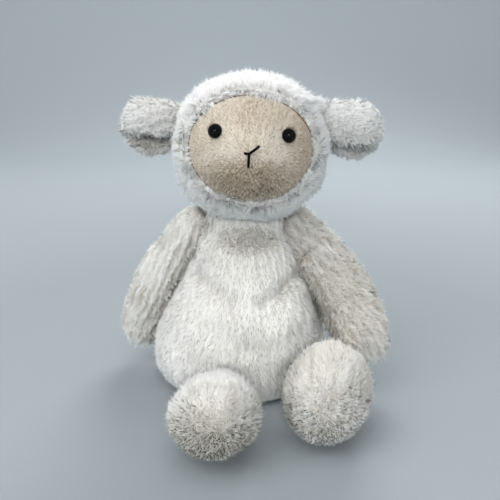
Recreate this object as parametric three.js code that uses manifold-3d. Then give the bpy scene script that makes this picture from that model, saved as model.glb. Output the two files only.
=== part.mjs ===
// A seated plush lamb with long cream pile, a beige short-pile face and large round feet.
// Sizes are in millimetres and +Z is up. The lamb sits on z = 0 and faces -Y; its own left is +X.
// Outer sizes are taken at half the height of the pile. Each group stands at the joint it turns on.
import * as THREE from "three";
import { mergeVertices } from "three/addons/utils/BufferGeometryUtils.js";
import Module from "manifold-3d";

const wasm = await Module();
wasm.setup();

// Cloth, seams and clearances
const plushWall = 4; // long-pile cloth with its pile
const shortPileWall = 2.4; // the short-pile cloth of the face and the ear linings
const seamGap = 0.3; // between pieces sewn or laid together
const swingGap = 0.5; // between a limb and what it swings past
const restCut = 0.5; // how deep a soft form is cut flat where it rests
const cutLength = 400; // overrun of every cutting solid
const weld = 0.001; // vertices closer than this are one

// Body
const bodyWidth = 120;
const bodyDepth = 106;
const neckHeight = 112; // centre of the round neck
const neckRadius = 24;
const neckOpening = 9; // radius of the hole that the stuffing goes in through
const bodyLean = 4; // how far the neck stands to the lamb's left
const seatBagHeight = 26;
const hipLevel = 20; // below it the body is oval, and above it turns round toward the neck
const neckStartDegrees = -8; // where the flanks meet the round neck, below its middle
const bodyShares = [
  [0.7, 0],
  [0.93, 0.045],
  [1, 0.17],
  [0.985, 0.29],
  [0.91, 0.42],
  [0.79, 0.57],
  [0.635, 0.73],
  [0.5, 0.87],
  [0.425, 0.94],
];

// Head
const headWidth = 95;
const headDepth = 92;
const headHeight = 88;
const headRise = 51.5; // centre of the head above the centre of the neck
const headForward = 10;
const headAside = 3.3;
const headFullness = 2.3; // 2 is an ellipsoid, and more has fuller cheeks
const headRollDegrees = 3.5;
const faceWidth = 72;
const faceHeight = 59;
const faceRise = 3.2; // centre of the face above the centre of the head
const faceSet = 2.6; // how deep the face cloth lies under the hood's pile
const muzzleBulge = 3.6;
const muzzleWidth = 27;
const muzzleHeight = 20;
const muzzleDrop = 5;
const muzzleFade = 23; // how far back from the front the muzzle reaches

// Eyes with their lock washers
const eyeDiameter = 8.5;
const eyeStand = 3.4; // how far the dome stands out of the face
const eyeSpacing = 42;
const eyeRise = 13.2;
const shankDiameter = 3;
const shankLength = 9;
const shankPlay = 0.3;
const washerDiameter = 10;
const washerThickness = 1;
const washerSeat = 1.15; // from the curved face cloth to the flat washer's middle

// Nose and mouth thread
const threadDiameter = 1.1;
const noseRise = 2.8; // where the strokes meet, above the centre of the head
const noseAside = 1; // and to the lamb's right of it
const noseReach = 6.6;
const noseLift = 5.2;
const mouthLength = 8.2;

// Ears
const earLength = 41;
const earHeight = 36;
const earDepth = 21;
const earRises = [7.5, 16]; // middle of the root above the centre of the head: right, left
const earInset = 4; // how far the root starts inside the hood's widest line
const liningGap = 0.3;
const earDroopDegrees = [-2, 3]; // right, left
const earFrontEdges = [5, 11]; // lower edge of the front flap below the ear's middle: right, left
const earRearReach = 2; // how far behind the ear's middle the mouth is cut
const earShares = [
  [0, 0],
  [0.7, 0.01],
  [0.88, 0.22],
  [1, 0.5],
  [0.93, 0.75],
  [0.62, 0.93],
  [0, 1],
];

// Arms
const shoulderSpread = 30;
const shoulderHeight = 111;
const shoulderBack = 5;
const armLength = 124;
const armRadius = 15;
const armRootRadius = 11;
const armShares = [0.86, 0.97, 1, 0.97, 0.95]; // of the radius, from below the shoulder to the paw
// How far each arm leans out and forward at even stations, in degrees
const armBends = {
  right: { out: [46, 34, 20, 4], forward: [0, -4, -8, -12] },
  left: { out: [50, 42, 24, 14], forward: [10, 20, 30, 34] },
};

// Legs and feet
const hipInset = 30; // from the body's side to the hip
const legLength = 62; // from the hip to the middle of the foot
const legRadius = 13;
const footWidth = 52;
const footLength = 67;
const footThickness = 48;
const soleDepth = 9; // how much of the foot's thickness the sole panel takes
// The depth of each hip behind the body's front, and the foot's turn outward and upward
const legPose = {
  right: { hipDepth: 13, toeOutDegrees: 16, toeUpDegrees: 40 },
  left: { hipDepth: 25, toeOutDegrees: 20, toeUpDegrees: 78 },
};

// Tail
const tailHeight = 32;
const tailLength = 30;
const tailRadius = 8.5;
const tailInset = 6;
const tailRiseDegrees = -20;
const tailShares = [0.8, 1, 0.95, 0.8]; // of the radius, from the root to the tip

// How far each part swings, in degrees, as the cuts that clear it are made
const armSwing = { from: -45, to: 75 };
const legSwing = { from: 0, to: 40 };
const earSwing = { from: -20, to: 20 };
const tailSwing = { from: -15, to: 20 };
const swingStep = 10;

// Counts of facets
const bodySides = 26;
const flankSteps = 10;
const neckSteps = 5;
const headSides = 24;
const headRings = 12;
const armStations = 12;
const limbSides = 12;
const limbRings = 9;
const limbCapRings = 3;
const footSides = 14;
const footRings = 8;
const earSides = 12;
const eyeSides = 12;
const threadSides = 6;
const threadRings = 5;

const plushWhite = new THREE.MeshStandardMaterial({ color: 0xf1efea, roughness: 0.95, metalness: 0 });
const plushCream = new THREE.MeshStandardMaterial({ color: 0xe9e3d8, roughness: 0.95, metalness: 0 });
const faceBeige = new THREE.MeshStandardMaterial({ color: 0xcbb89f, roughness: 0.9, metalness: 0 });
const stuffing = new THREE.MeshStandardMaterial({ color: 0xf7f7f5, roughness: 1, metalness: 0 });
const bagCloth = new THREE.MeshStandardMaterial({ color: 0xd8d4cc, roughness: 0.9, metalness: 0 });
const eyeBlack = new THREE.MeshStandardMaterial({ color: 0x0b0a0a, roughness: 0.08, metalness: 0 });
const washerWhite = new THREE.MeshStandardMaterial({ color: 0xe6e6e2, roughness: 0.5, metalness: 0 });
const blackThread = new THREE.MeshStandardMaterial({ color: 0x14110f, roughness: 0.8, metalness: 0 });

const thinShare = 1.5; // a ring thinner than this many walls is left out of a filling
const tipShare = 1.15; // length of a limb's round tip, as a share of its radius

const radians = THREE.MathUtils.degToRad;
const smooth = THREE.MathUtils.smoothstep;
const tipUp = new THREE.Vector3(1, 0, 0); // the axis that lifts what points back
const frontUp = new THREE.Vector3(-1, 0, 0); // the axis that lifts what hangs or points forward
const sideDown = new THREE.Vector3(0, 1, 0); // the axis that lowers what points to the lamb's left

// A closed geometry as a solid that can be cut and joined.
function solidOf(geometry) {
  const bare = geometry.clone();
  bare.deleteAttribute("normal");
  bare.deleteAttribute("uv");
  const merged = mergeVertices(bare, weld);
  return new wasm.Manifold(
    new wasm.Mesh({
      numProp: 3,
      vertProperties: merged.getAttribute("position").array,
      triVerts: new Uint32Array(merged.index.array),
    }),
  );
}

// A solid as a named mesh in its group.
function addPiece(group, name, solid, material) {
  const cut = solid.getMesh();
  const geometry = new THREE.BufferGeometry();
  geometry.setAttribute("position", new THREE.BufferAttribute(cut.vertProperties, cut.numProp));
  geometry.setIndex(new THREE.BufferAttribute(cut.triVerts, 1));
  geometry.computeVertexNormals();
  const mesh = new THREE.Mesh(geometry, material);
  mesh.name = name;
  group.add(mesh);
  return mesh;
}

// A solid of the first frame, as it lies in the second frame.
function seenFrom(solid, from, to) {
  from.updateWorldMatrix(true, false);
  to.updateWorldMatrix(true, false);
  const change = to.matrixWorld.clone().invert().multiply(from.matrixWorld);
  return solid.transform(change.elements);
}

// Takes away all that an obstacle sweeps past while the limb swings on the axis through its origin.
function clearedOf(limb, obstacle, axis, swing) {
  const steps = Math.ceil((swing.to - swing.from) / swingStep);
  let cleared = limb.subtract(obstacle);
  for (let i = 0; i <= steps; i++) {
    const angle = radians(swing.from + ((swing.to - swing.from) * i) / steps);
    const turned = new THREE.Matrix4().makeRotationAxis(axis, -angle);
    cleared = cleared.subtract(obstacle.transform(turned.elements));
  }
  return largestBody(cleared);
}

// The main body of a cut solid, without loose crumbs.
function largestBody(solid) {
  const bodies = solid.decompose();
  bodies.sort((a, b) => b.volume() - a.volume());
  return bodies[0];
}

// All that lies above a height, as a cutting solid.
function above(height) {
  const slab = new THREE.BoxGeometry(cutLength, cutLength, cutLength);
  return solidOf(slab.translate(0, 0, height + cutLength / 2));
}

function ball(radius, sides, rings) {
  return new THREE.SphereGeometry(radius, sides, rings).rotateX(Math.PI / 2);
}

// A ring of points from the axis at the bottom to the axis at the top, turned round +Z.
function turned(outline, sides) {
  return new THREE.LatheGeometry(outline, sides).rotateX(Math.PI / 2);
}

// Moves every vertex of a geometry with a function that changes the point it is given.
function reshape(geometry, change) {
  const places = geometry.getAttribute("position");
  const point = new THREE.Vector3();
  for (let i = 0; i < places.count; i++) {
    point.fromBufferAttribute(places, i);
    change(point);
    places.setXYZ(i, point.x, point.y, point.z);
  }
  return geometry;
}

// The value between evenly spread stations, as a smooth curve through them.
function between(stations, share) {
  const curve = new THREE.CatmullRomCurve3(stations.map((value, i) => new THREE.Vector3(i, value, 0)));
  return curve.getPoint(THREE.MathUtils.clamp(share, 0, 1)).y;
}

// Body: a pear with a flat seat, whose top is the round neck.
// The room and the filling have half the sides, which keeps them inside the cover.
function bodyForm(inset, sides = bodySides) {
  const floor = inset - restCut;
  const outline = bodyShares.map(([across, up]) => {
    const height = floor + up * (neckHeight - floor);
    return new THREE.Vector2((across * bodyWidth) / 2 - inset, height);
  });
  const flank = new THREE.SplineCurve(outline).getPoints(flankSteps);
  const points = [new THREE.Vector2(0, floor), ...flank];
  for (let i = 0; i <= neckSteps; i++) {
    const angle = radians(neckStartDegrees + ((90 - neckStartDegrees) * i) / neckSteps);
    const reach = neckRadius - inset;
    const across = i === neckSteps ? 0 : reach * Math.cos(angle);
    points.push(new THREE.Vector2(across, neckHeight + reach * Math.sin(angle)));
  }
  const form = turned(points, sides);
  const neckFoot = neckHeight - neckRadius;
  return solidOf(
    reshape(form, (p) => {
      const rise = smooth(p.z, hipLevel, neckFoot);
      p.y *= THREE.MathUtils.lerp(bodyDepth / bodyWidth, 1, rise);
      p.x += bodyLean * rise;
    }),
  );
}

// Head: a ball with full cheeks, as the hood's outline or, set in, as the face's.
function headForm(inset) {
  const form = ball(1, headSides, headRings);
  const half = headHalves(inset);
  return reshape(form, (p) => {
    const size =
      (Math.abs(p.x) ** headFullness + Math.abs(p.y) ** headFullness + Math.abs(p.z) ** headFullness) **
      (1 / headFullness);
    p.divideScalar(size).multiply(half);
  });
}

function headHalves(inset) {
  return new THREE.Vector3(headWidth / 2 - inset, headDepth / 2 - inset, headHeight / 2 - inset);
}

// How far the muzzle stands out at a place on the face.
function muzzleAt(x, z) {
  const across = x / muzzleWidth;
  const up = (z + muzzleDrop) / muzzleHeight;
  return muzzleBulge * Math.exp(-(across ** 2) - up ** 2);
}

function faceForm(inset) {
  return reshape(headForm(faceSet + inset), (p) => {
    if (p.y < 0) p.y -= muzzleAt(p.x, p.z) * smooth(-p.y, 0, muzzleFade);
  });
}

// The point of the face cloth at a place across and up, moved out by a lift.
function onFace(x, z, lift) {
  const half = headHalves(faceSet);
  const left = 1 - Math.abs(x / half.x) ** headFullness - Math.abs(z / half.z) ** headFullness;
  return new THREE.Vector3(x, -half.y * left ** (1 / headFullness) - muzzleAt(x, z) - lift, z);
}

// The outward direction of the face cloth at a place.
function faceNormal(x, z) {
  const step = eyeDiameter / 8;
  const along = onFace(x + step, z, 0).sub(onFace(x - step, z, 0));
  const up = onFace(x, z + step, 0).sub(onFace(x, z - step, 0));
  return along.cross(up).normalize();
}

// A round bar along a route, with a round cap at each end. It gives its radius by the share of its length.
// Set in, it is the room or the filling inside: the same rings, less the inset, open at the root if asked.
function limbForm(route, radiusAt, options) {
  const { inset = 0, openRoot = false, sides = limbSides, rings = limbRings } = options;
  const outline = limbOutline(route.getLength(), radiusAt, rings);
  const tip = outline[rings].y - inset;
  const least = inset > 0 ? plushWall * thinShare : 0;
  const kept = outline.filter((p, i) => i > 0 && i < rings && (openRoot || p.x > least) && p.y < tip);
  const closed = kept.filter((p) => p.x > least);
  const points = closed.map((p) => new THREE.Vector2(p.x - inset, p.y));
  if (openRoot) {
    const past = outline[0].y - radiusAt(0);
    const wide = radiusAt(0) - inset;
    for (const p of points) if (p.y < 0) p.x = wide;
    points.unshift(new THREE.Vector2(0, past), new THREE.Vector2(wide, past));
  } else {
    points.unshift(new THREE.Vector2(0, outline[0].y + inset));
  }
  points.push(new THREE.Vector2(0, tip));
  return followRoute(turned(points, sides), route);
}

function limbOutline(length, radiusAt, rings) {
  const from = -radiusAt(0);
  const outline = [];
  for (let i = 0; i <= rings; i++) {
    const along = from + ((length - from) * (1 - Math.cos((Math.PI * i) / rings))) / 2;
    const nearTip = Math.min(1, (length - along) / (radiusAt(1) * tipShare));
    const nearRoot = Math.min(1, (along - from) / radiusAt(0));
    const round = Math.sqrt(1 - (1 - nearTip) ** 2) * Math.sqrt(1 - (1 - nearRoot) ** 2);
    outline.push(new THREE.Vector2(radiusAt(THREE.MathUtils.clamp(along / length, 0, 1)) * round, along));
  }
  return outline;
}

function followRoute(form, route) {
  const length = route.getLength();
  return reshape(form, (p) => {
    const share = THREE.MathUtils.clamp(p.z / length, 0, 1);
    const past = p.z - share * length;
    const middle = route.getPointAt(share);
    const ahead = route.getTangentAt(share);
    const side = new THREE.Vector3().crossVectors(sideDown, ahead).normalize();
    const front = new THREE.Vector3().crossVectors(ahead, side);
    const { x, y } = p;
    p.copy(middle).addScaledVector(ahead, past).addScaledVector(side, x).addScaledVector(front, y);
  });
}

const lamb = new THREE.Group();
const bodyGroup = new THREE.Group();
lamb.add(bodyGroup);

function makeBody() {
  const neckHole = new THREE.CylinderGeometry(neckOpening, neckOpening, neckRadius * 2, bodySides);
  neckHole.rotateX(Math.PI / 2).translate(bodyLean, 0, neckHeight + neckRadius);
  const outside = bodyForm(0).intersect(above(0));
  const cover = outside.subtract(bodyForm(plushWall, bodySides / 2)).subtract(solidOf(neckHole));
  const filling = bodyForm(plushWall + seamGap, bodySides / 2);
  addPiece(bodyGroup, "body_cover", cover, plushCream);
  addPiece(bodyGroup, "body_stuffing", filling.intersect(above(seatBagHeight + seamGap)), stuffing);
  addPiece(bodyGroup, "seat_pellet_bag", filling.subtract(above(seatBagHeight)), bagCloth);
}

// Neck: the head's group stands at the centre of the round neck, so the head nods on it.
const headGroup = new THREE.Group();
headGroup.position.set(bodyLean, 0, neckHeight);
bodyGroup.add(headGroup);
const skullGroup = new THREE.Group();
skullGroup.position.set(headAside, -headForward, headRise);
skullGroup.rotation.y = radians(headRollDegrees);
headGroup.add(skullGroup);

function faceOutline(spare) {
  const outline = new THREE.Shape();
  outline.absellipse(0, 0, faceWidth / 2 + spare, faceHeight / 2 + spare, 0, Math.PI * 2);
  const options = { depth: cutLength, bevelEnabled: false, curveSegments: headSides };
  const cut = new THREE.ExtrudeGeometry(outline, options);
  return solidOf(cut.rotateX(Math.PI / 2).translate(0, 0, faceRise));
}

function placedAtEye(geometry, side) {
  const x = (side * eyeSpacing) / 2;
  const out = faceNormal(x, eyeRise);
  const turn = new THREE.Quaternion().setFromUnitVectors(new THREE.Vector3(0, 0, 1), out);
  const place = onFace(x, eyeRise, 0);
  const matrix = new THREE.Matrix4().compose(place, turn, new THREE.Vector3(1, 1, 1));
  return solidOf(geometry).transform(matrix.elements);
}

function post(diameter, from, to) {
  const form = new THREE.CylinderGeometry(diameter / 2, diameter / 2, to - from, eyeSides);
  return form.rotateX(Math.PI / 2).translate(0, 0, (from + to) / 2);
}

function makeHead() {
  const neckBall = ball(neckRadius + swingGap, headSides, headRings);
  const socket = seenFrom(solidOf(neckBall), headGroup, skullGroup);
  const room = solidOf(faceForm(shortPileWall));
  const hoodShell = solidOf(headForm(0)).subtract(room);
  const hood = hoodShell.subtract(faceOutline(seamGap)).subtract(socket);
  let face = solidOf(faceForm(0)).subtract(room).intersect(faceOutline(0));
  const behindFace = solidOf(faceForm(shortPileWall + seamGap));
  let filling = behindFace.subtract(socket);
  for (const [side, name] of [
    [-1, "right"],
    [1, "left"],
  ]) {
    const bulge = ball(eyeDiameter / 2, eyeSides, eyeSides / 2);
    bulge.translate(0, 0, eyeStand - eyeDiameter / 2);
    const dome = placedAtEye(bulge, side).subtract(solidOf(faceForm(-seamGap)));
    const shank = placedAtEye(post(shankDiameter, -shankLength, eyeStand / 2), side);
    const holeDiameter = shankDiameter + 2 * shankPlay;
    const hole = placedAtEye(post(holeDiameter, -shankLength * 2, eyeDiameter), side);
    face = face.subtract(hole);
    const washerTop = -shortPileWall - washerSeat;
    const washerDisc = placedAtEye(post(washerDiameter, washerTop - washerThickness, washerTop), side);
    const washer = washerDisc.subtract(hole).intersect(behindFace);
    const pocketFloor = -shankLength - seamGap;
    const pocketDiameter = washerDiameter + 2 * seamGap;
    const pocket = placedAtEye(post(pocketDiameter, pocketFloor, eyeDiameter), side);
    filling = filling.subtract(pocket);
    addPiece(skullGroup, `${name}_eye`, largestBody(dome.add(shank)), eyeBlack);
    addPiece(skullGroup, `${name}_eye_washer`, washer, washerWhite);
  }
  addPiece(skullGroup, "head_hood", largestBody(hood), plushWhite);
  addPiece(skullGroup, "face_panel", largestBody(face), faceBeige);
  addPiece(skullGroup, "head_stuffing", largestBody(filling), stuffing);
}

// Nose and mouth: three stitched strokes that meet under the nose.
function makeNose() {
  const lift = seamGap + threadDiameter / 2;
  const ends = [
    [noseReach, noseLift],
    [-noseReach / 2, noseLift / 4],
    [0, -mouthLength],
  ];
  let strokes = null;
  for (const [across, up] of ends) {
    const placeAt = (share) => onFace(across * share - noseAside, noseRise + up * share, lift);
    const places = [0, 0.5, 1].map(placeAt);
    const route = new THREE.CatmullRomCurve3(places);
    const options = { sides: threadSides, rings: threadRings };
    const stroke = solidOf(limbForm(route, () => threadDiameter / 2, options));
    strokes = strokes ? strokes.add(stroke) : stroke;
  }
  addPiece(skullGroup, "nose_and_mouth_thread", strokes, blackThread);
}

// Ears: a leaf folded over along its top, so that it opens at the front and below.
function earForm(side, inset, rootExtra) {
  const outline = earShares.map(([across, along], i) => {
    const radius = i === 0 || i === earShares.length - 1 ? 0 : (across * earHeight) / 2 - inset;
    const reach = along * (earLength - inset);
    return new THREE.Vector2(radius, i < 2 ? reach - rootExtra : reach);
  });
  const form = turned(outline, earSides).rotateY(Math.PI / 2);
  const flat = (earDepth / 2 - inset) / (earHeight / 2 - inset);
  return solidOf(reshape(form, (p) => (p.y *= flat)).rotateZ(side < 0 ? Math.PI : 0));
}

function earMouth(frontEdge) {
  const cut = new THREE.BoxGeometry(cutLength, cutLength, cutLength);
  return solidOf(cut.translate(0, earRearReach - cutLength / 2, -frontEdge - cutLength / 2));
}

function makeEar(side, name, index) {
  const group = new THREE.Group();
  group.position.set(side * (headWidth / 2 - earInset), 0, earRises[index]);
  group.rotation.y = side * radians(earDroopDegrees[index]);
  skullGroup.add(group);
  const head = seenFrom(solidOf(headForm(-swingGap)), skullGroup, group);
  const mouth = earMouth(earFrontEdges[index]);
  const liningOut = plushWall + liningGap;
  const liningIn = liningOut + shortPileWall;
  const outerShell = earForm(side, 0, 0).subtract(earForm(side, plushWall, plushWall));
  const innerShell = earForm(side, liningOut, 0).subtract(earForm(side, liningIn, liningIn));
  const outer = clearedOf(outerShell.subtract(mouth), head, sideDown, earSwing);
  const lining = clearedOf(innerShell.subtract(mouth), head, sideDown, earSwing);
  addPiece(group, `${name}_ear_outer`, outer, plushWhite);
  addPiece(group, `${name}_ear_lining`, lining, plushCream);
}

// The route of an arm from its shoulder.
function armRoute(side, bends) {
  const points = [new THREE.Vector3()];
  const length = armLength - armRadius;
  for (let i = 0; i < armStations; i++) {
    const share = (i + 0.5) / armStations;
    const out = radians(between(bends.out, share));
    const forward = radians(between(bends.forward, share));
    const step = new THREE.Vector3(side * Math.sin(out), -Math.sin(forward), -Math.cos(out));
    step.normalize().multiplyScalar(length / armStations);
    points.push(points[i].clone().add(step));
  }
  return new THREE.CatmullRomCurve3(points);
}

function makeArm(side, name) {
  const group = new THREE.Group();
  group.position.set(bodyLean + side * shoulderSpread, shoulderBack, shoulderHeight);
  bodyGroup.add(group);
  const route = armRoute(side, armBends[name]);
  const radiusShares = [armRootRadius / armRadius, ...armShares];
  const radiusAt = (share) => armRadius * between(radiusShares, share);
  const arm = (inset, openRoot) => solidOf(limbForm(route, radiusAt, { inset, openRoot }));
  const body = seenFrom(bodyForm(-swingGap), bodyGroup, group);
  const deeper = seenFrom(bodyForm(-swingGap - plushWall), bodyGroup, group);
  const cover = clearedOf(arm(0, false), body, frontUp, armSwing).subtract(arm(plushWall, true));
  const filling = clearedOf(arm(plushWall + seamGap, false), deeper, frontUp, armSwing);
  addPiece(group, `${name}_arm_cover`, largestBody(cover), plushCream);
  addPiece(group, `${name}_arm_stuffing`, filling, stuffing);
}

// Legs: a round leg that lies along the seat, with a large foot whose toe points up.
function footForm(inset, toeUp) {
  const form = ball(1, footSides, footRings);
  form.scale(footWidth / 2 - inset, footThickness / 2 - inset, footLength / 2 - inset);
  const long = (footLength / 2) * Math.sin(toeUp);
  const thick = (footThickness / 2) * Math.cos(toeUp);
  const rise = Math.hypot(long, thick) - legRadius;
  form.rotateX(Math.PI / 2 - toeUp);
  return solidOf(form.translate(0, -legLength, rise));
}

function legForm(inset, rootExtra, toeUp) {
  const route = new THREE.LineCurve3(new THREE.Vector3(), new THREE.Vector3(0, -legLength, 0));
  const form = reshape(
    limbFormStraight(route.getLength(), inset, rootExtra),
    (p) => p.set(p.x, -p.z, p.y),
  );
  return solidOf(form).add(footForm(inset, toeUp));
}

function limbFormStraight(length, inset, rootExtra) {
  const radius = legRadius - inset;
  const outline = [new THREE.Vector2(0, -legRadius - rootExtra)];
  for (let i = 1; i <= limbCapRings; i++) {
    const angle = (Math.PI / 2) * (i / limbCapRings);
    const across = rootExtra > 0 ? radius : radius * Math.sin(angle);
    outline.push(new THREE.Vector2(across, -rootExtra - legRadius * Math.cos(angle)));
  }
  outline.push(new THREE.Vector2(radius, length));
  outline.push(new THREE.Vector2(0, length));
  return turned(outline, limbSides);
}

function makeLeg(side, name) {
  const pose = legPose[name];
  const toeUp = radians(pose.toeUpDegrees);
  const group = new THREE.Group();
  const across = side * (bodyWidth / 2 - hipInset);
  group.position.set(across, pose.hipDepth - bodyDepth / 2, legRadius - restCut);
  group.rotation.z = radians(pose.toeOutDegrees);
  bodyGroup.add(group);
  const floor = restCut - legRadius;
  const body = seenFrom(bodyForm(-swingGap), bodyGroup, group);
  const deeper = seenFrom(bodyForm(-swingGap - plushWall), bodyGroup, group);
  const outside = clearedOf(legForm(0, 0, toeUp), body, frontUp, legSwing).intersect(above(floor));
  const room = legForm(plushWall, legRadius, toeUp).intersect(above(floor + plushWall));
  const shell = outside.subtract(room);
  const soleSide = soleCut(toeUp, footThickness / 2 - soleDepth);
  const coverSide = soleCut(toeUp, footThickness / 2 - soleDepth - seamGap);
  const inner = plushWall + seamGap;
  const content = legForm(inner, 0, toeUp).intersect(above(floor + inner));
  const filling = clearedOf(content, deeper, frontUp, legSwing);
  const bag = filling.intersect(soleCut(toeUp, seamGap / 2));
  const fibre = filling.subtract(soleCut(toeUp, -seamGap / 2));
  addPiece(group, `${name}_leg_cover`, largestBody(shell.subtract(coverSide)), plushCream);
  addPiece(group, `${name}_foot_sole`, largestBody(shell.intersect(soleSide)), plushWhite);
  addPiece(group, `${name}_leg_stuffing`, largestBody(fibre), stuffing);
  addPiece(group, `${name}_foot_pellet_bag`, largestBody(bag), bagCloth);
}

// All of the foot that lies further out than a distance from its middle, on the side of the sole.
function soleCut(toeUp, distance) {
  const long = (footLength / 2) * Math.sin(toeUp);
  const thick = (footThickness / 2) * Math.cos(toeUp);
  const rise = Math.hypot(long, thick) - legRadius;
  const block = new THREE.BoxGeometry(cutLength, cutLength, cutLength);
  block.translate(0, -distance - cutLength / 2, 0).rotateX(Math.PI / 2 - toeUp);
  return solidOf(block.translate(0, -legLength, rise));
}

function makeTail() {
  const group = new THREE.Group();
  group.position.set(0, bodyDepth / 2 - tailInset, tailHeight);
  bodyGroup.add(group);
  const rise = radians(tailRiseDegrees);
  const end = new THREE.Vector3(0, Math.cos(rise), Math.sin(rise)).multiplyScalar(tailLength);
  const bend = new THREE.Vector3(0, end.y / 2, end.z / 4);
  const route = new THREE.CatmullRomCurve3([new THREE.Vector3(), bend, end]);
  const radiusAt = (share) => tailRadius * between(tailShares, share);
  const tail = (inset, openRoot) => solidOf(tailForm(route, radiusAt, inset, openRoot));
  const body = seenFrom(bodyForm(-swingGap), bodyGroup, group);
  const cover = clearedOf(tail(0, false), body, tipUp, tailSwing).subtract(tail(plushWall, true));
  const filling = clearedOf(tail(plushWall + seamGap, false), body, tipUp, tailSwing);
  addPiece(group, "tail_cover", largestBody(cover), plushCream);
  addPiece(group, "tail_stuffing", filling, stuffing);
}

function tailForm(route, radiusAt, inset, openRoot) {
  const turn = new THREE.Matrix4().makeRotationZ(Math.PI / 2);
  const aside = new THREE.CatmullRomCurve3(
    route.points.map((p) => p.clone().applyMatrix4(turn)),
  );
  const form = limbForm(aside, radiusAt, { inset, openRoot });
  return form.applyMatrix4(turn.clone().invert());
}

makeBody();
makeHead();
makeNose();
makeEar(-1, "right", 0);
makeEar(1, "left", 1);
makeArm(-1, "right");
makeArm(1, "left");
makeLeg(-1, "right");
makeLeg(1, "left");
makeTail();

export default lamb;
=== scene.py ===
import math

import bmesh
import bpy
import numpy as np
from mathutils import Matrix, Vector, kdtree
from mathutils.bvhtree import BVHTree


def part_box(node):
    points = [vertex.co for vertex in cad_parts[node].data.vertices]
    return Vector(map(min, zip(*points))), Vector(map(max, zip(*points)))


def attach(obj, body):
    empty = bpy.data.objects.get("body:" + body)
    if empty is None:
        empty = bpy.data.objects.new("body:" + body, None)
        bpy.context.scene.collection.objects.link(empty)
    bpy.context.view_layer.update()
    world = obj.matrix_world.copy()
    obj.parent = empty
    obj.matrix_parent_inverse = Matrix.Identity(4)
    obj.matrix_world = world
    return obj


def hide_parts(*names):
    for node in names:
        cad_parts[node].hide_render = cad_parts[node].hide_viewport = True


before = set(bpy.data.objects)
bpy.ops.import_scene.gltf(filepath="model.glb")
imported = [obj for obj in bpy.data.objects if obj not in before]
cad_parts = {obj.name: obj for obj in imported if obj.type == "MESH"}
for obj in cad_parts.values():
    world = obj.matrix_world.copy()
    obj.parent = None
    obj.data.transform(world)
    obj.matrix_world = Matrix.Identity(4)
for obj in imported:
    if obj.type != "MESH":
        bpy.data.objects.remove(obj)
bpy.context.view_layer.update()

mm = 0.001


def linear(red, green, blue):  # a colour as read from a picture, 0 to 255
    shares = [c / 255 for c in (red, green, blue)]
    return tuple(c / 12.92 if c <= 10 / 255 else ((c + 0.055) / 1.055) ** 2.4 for c in shares)


def unit(v):
    return v / np.maximum(np.linalg.norm(v, axis=-1, keepdims=True), 1e-12)


def aimed(*parts):  # one way for each place, from numbers and rows of numbers
    return np.stack(np.broadcast_arrays(*parts), -1)


def ease(x, low, high):  # 0 below low, 1 above high
    t = np.clip((x - low) / (high - low), 0, 1)
    return t * t * (3 - 2 * t)


def spot(x, z, centre, half):  # 1 in the middle of a soft oval, 0 outside it
    r = np.hypot((x - centre[0]) / half[0], (z - centre[1]) / half[1])
    return 1 - ease(r, 0.35, 1.15)


def along(x, z, start, end, half):  # 1 on a line from start to end, 0 away from it
    a, b, p = np.array(start), np.array(end), np.stack([x, z], 1)
    t = np.clip(((p - a) @ (b - a)) / ((b - a) @ (b - a)), 0, 1)
    return np.exp(-(np.linalg.norm(p - a - t[:, None] * (b - a), axis=1) / half) ** 2)


def placed(name, data):
    thing = bpy.data.objects.new(name, data)
    bpy.context.scene.collection.objects.link(thing)
    return thing


# Camera: a little above the head, at the photograph's distance
cameraLook = {"place": (0.007, -0.389, 0.2176), "pitchDegrees": 72.1, "lens": 43.2, "sensor": 36.0}


def makeCamera():
    data = bpy.data.cameras.new("camera")
    data.lens = cameraLook["lens"]
    data.sensor_width = cameraLook["sensor"]
    data.clip_start = 0.01
    data.clip_end = 20
    camera = placed("camera", data)
    camera.location = cameraLook["place"]
    camera.rotation_euler = (math.radians(cameraLook["pitchDegrees"]), 0, 0)
    bpy.context.scene.camera = camera


# Materials
def newMaterial(name):
    material = bpy.data.materials.new(name)
    material.use_nodes = True
    nodes = material.node_tree.nodes
    return material, nodes, material.node_tree.links, nodes["Principled BSDF"]


def addRamp(nodes, stops, tones):
    ramp = nodes.new("ShaderNodeValToRGB")
    ramp.color_ramp.interpolation = "EASE"
    while len(ramp.color_ramp.elements) < len(stops):
        ramp.color_ramp.elements.new(0.5)
    for element, place, tone in zip(ramp.color_ramp.elements, stops, tones):
        element.position = place
        element.color = (*linear(*tone), 1)
    return ramp


# Pile: across the map a strand runs from root to tip, and up the map lies its tone
def pileMaterial(name, look):
    material, nodes, links, shader = newMaterial(name)
    place = nodes.new("ShaderNodeUVMap")
    place.uv_map = "OFBake"
    split = nodes.new("ShaderNodeSeparateXYZ")
    links.new(place.outputs["UV"], split.inputs[0])
    deep = addRamp(nodes, pileStops, look["deepTones"])
    light = addRamp(nodes, pileStops, look["lightTones"])
    mix = nodes.new("ShaderNodeMix")
    mix.data_type = "RGBA"
    links.new(split.outputs["X"], deep.inputs[0])
    links.new(split.outputs["X"], light.inputs[0])
    links.new(split.outputs["Y"], mix.inputs["Factor"])
    links.new(deep.outputs[0], mix.inputs["A"])
    links.new(light.outputs[0], mix.inputs["B"])
    links.new(mix.outputs["Result"], shader.inputs["Base Color"])
    shader.inputs["Roughness"].default_value = look["roughness"]
    shader.inputs["Specular IOR Level"].default_value = look["specular"]
    shader.inputs["Sheen Weight"].default_value = look["sheen"]
    shader.inputs["Sheen Roughness"].default_value = 0.5
    return material


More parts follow.
